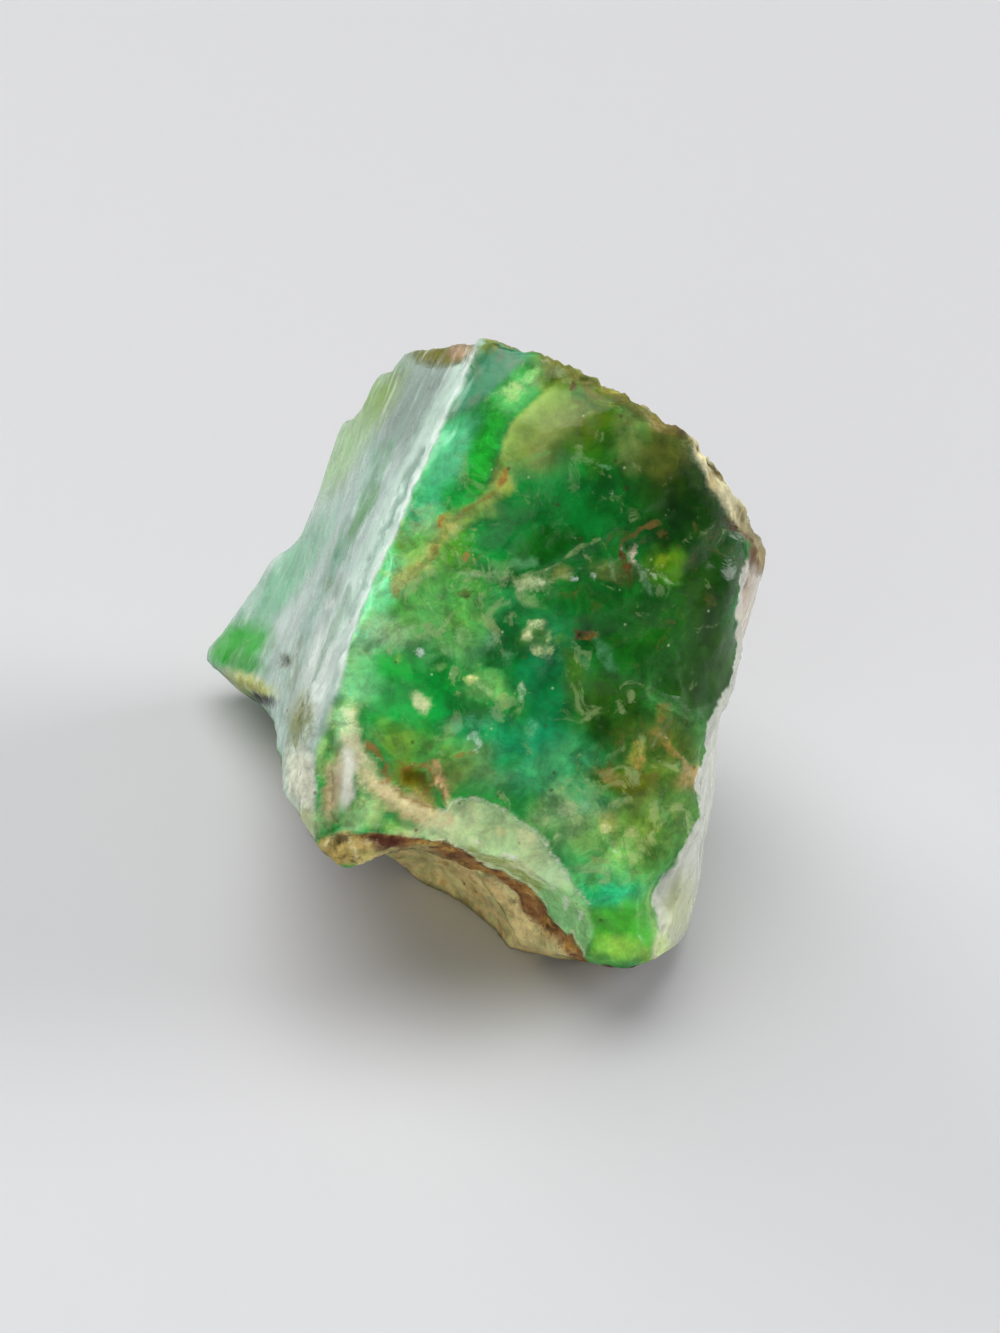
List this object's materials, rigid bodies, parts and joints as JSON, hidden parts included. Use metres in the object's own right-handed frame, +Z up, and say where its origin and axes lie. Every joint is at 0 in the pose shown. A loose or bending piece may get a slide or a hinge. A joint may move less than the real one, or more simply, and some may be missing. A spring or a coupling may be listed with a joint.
{
  "type": "raw chrysoprase",
  "caption": "Rough piece of apple-green chalcedony with glassy curved fracture faces, a sharp ridge, brown matrix underneath and a cream rind on top; it rests on a flat facet.",
  "frame": {"origin": "Middle of the stone's box on the surface that it rests on.", "axes": "+Z up, -Y towards the side with the large green fracture face, +X to the right as that face is seen."},
  "size_m": [0.031, 0.0318, 0.0325],
  "materials": {
    "chalcedony": "satin"
  },
  "bodies": {
    "root": {"chrysoprase": "chalcedony"}
  },
  "joints": []
}
